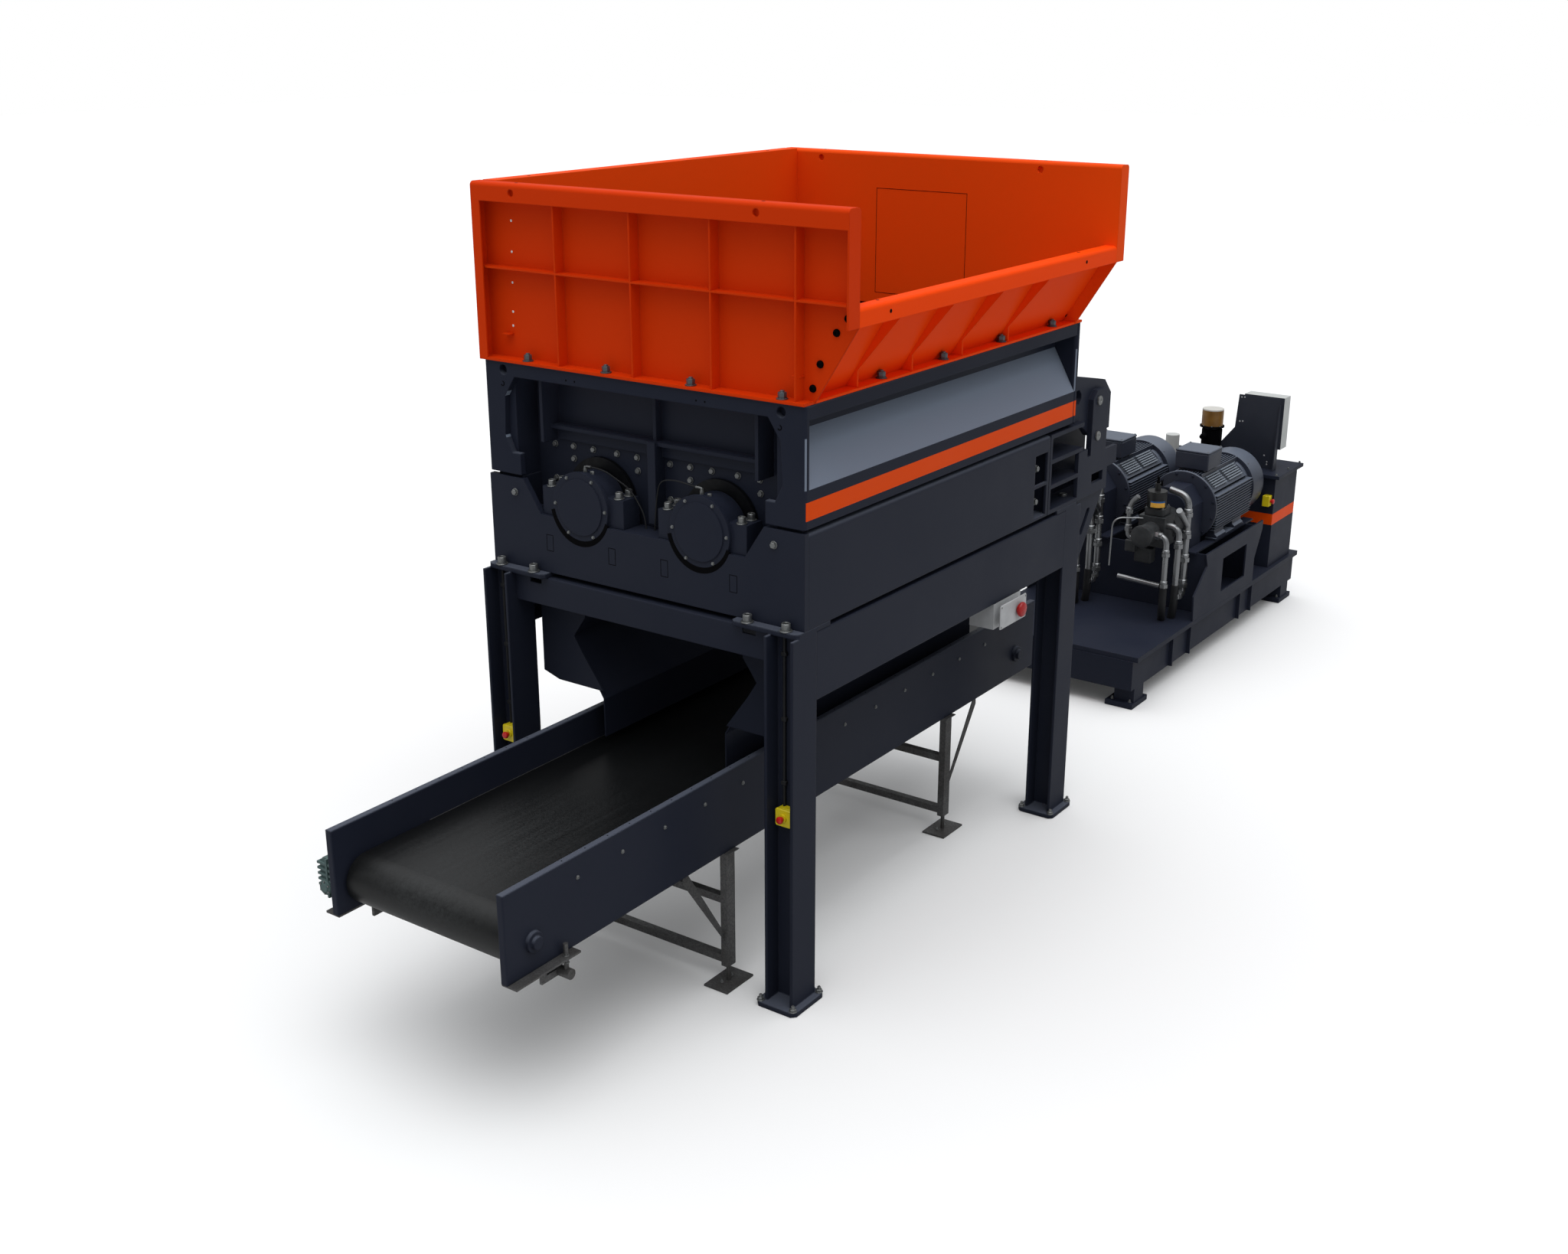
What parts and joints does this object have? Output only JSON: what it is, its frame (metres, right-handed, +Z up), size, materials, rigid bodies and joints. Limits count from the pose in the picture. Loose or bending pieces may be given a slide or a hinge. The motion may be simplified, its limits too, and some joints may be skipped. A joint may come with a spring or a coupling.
{
  "type": "industrial pre-shredder",
  "caption": "Twin-shaft pre-shredder with a loading hopper on a legged frame, a discharge conveyor under it and a hydraulic power pack behind it.",
  "frame": {"origin": "on the floor at the middle of the four frame legs and their anchor bolts", "axes": "+Z up, +Y along the machine from the bearing end to the power pack, +X towards the loading side"},
  "size_m": [2.707, 11.324, 4.74],
  "materials": {
    "bare_steel": "worn",
    "belt_rubber": "worn matt",
    "black_paint": "gloss",
    "dark_paint": "satin",
    "galvanised_steel": "dull galvanised",
    "green_grey_paint": "satin",
    "grey_paint": "satin",
    "orange_paint": "satin",
    "yellow_plastic": "satin"
  },
  "bodies": {
    "machine": {"bearing_front_left": "dark_paint", "bearing_front_right": "dark_paint", "belt_tensioners": "galvanised_steel", "chamber_wall_front": "dark_paint", "chamber_wall_rear": "dark_paint", "control_box": "grey_paint", "conveyor_bed": "bare_steel", "conveyor_belt": "belt_rubber", "conveyor_drums": "bare_steel", "conveyor_gearmotor": "green_grey_paint", "conveyor_side_left": "dark_paint", "conveyor_side_right": "dark_paint", "conveyor_supports": "galvanised_steel", "cutting_table": "bare_steel", "discharge_chute": "dark_paint", "drive_bracket_left": "dark_paint", "drive_bracket_right": "dark_paint", "drive_motor_left": "dark_paint", "drive_motor_right": "dark_paint", "emergency_stops": "yellow_plastic", "frame_beam_left": "dark_paint", "frame_beam_right": "dark_paint", "frame_cross_beams": "dark_paint", "hopper_wall_front": "orange_paint", "hopper_wall_left": "orange_paint", "hopper_wall_rear": "orange_paint", "hopper_wall_right": "orange_paint", "leg_front_left": "dark_paint", "leg_front_right": "dark_paint", "leg_rear_left": "dark_paint", "leg_rear_right": "dark_paint", "lower_end_front": "dark_paint", "lower_end_rear": "dark_paint", "lower_side_left": "dark_paint", "lower_side_right": "dark_paint", "pack_accumulators": "black_paint", "pack_base": "dark_paint", "pack_cabinet": "dark_paint", "pack_filter": "dark_paint", "pack_gear_case_left": "dark_paint", "pack_gear_case_right": "dark_paint", "pack_motor_frame": "dark_paint", "pack_motor_left": "dark_paint", "pack_motor_right": "dark_paint", "pack_pump_left": "dark_paint", "pack_pump_right": "dark_paint", "pack_tank": "dark_paint", "upper_frame_front": "dark_paint", "upper_frame_rear": "dark_paint", "upper_side_left": "dark_paint", "upper_side_right": "dark_paint"},
    "rotor_right": {"rotor_right": "bare_steel"},
    "rotor_left": {"rotor_left": "bare_steel"}
  },
  "joints": [
    {"name": "rotor_right_turn", "type": "hinge", "parent": "machine", "child": "rotor_right", "pos_m": [0.455, 0, 2.86], "axis": [0, 1, 0], "continuous": true},
    {"name": "rotor_left_turn", "type": "hinge", "parent": "machine", "child": "rotor_left", "pos_m": [-0.455, 0, 2.86], "axis": [0, 1, 0], "continuous": true}
  ]
}
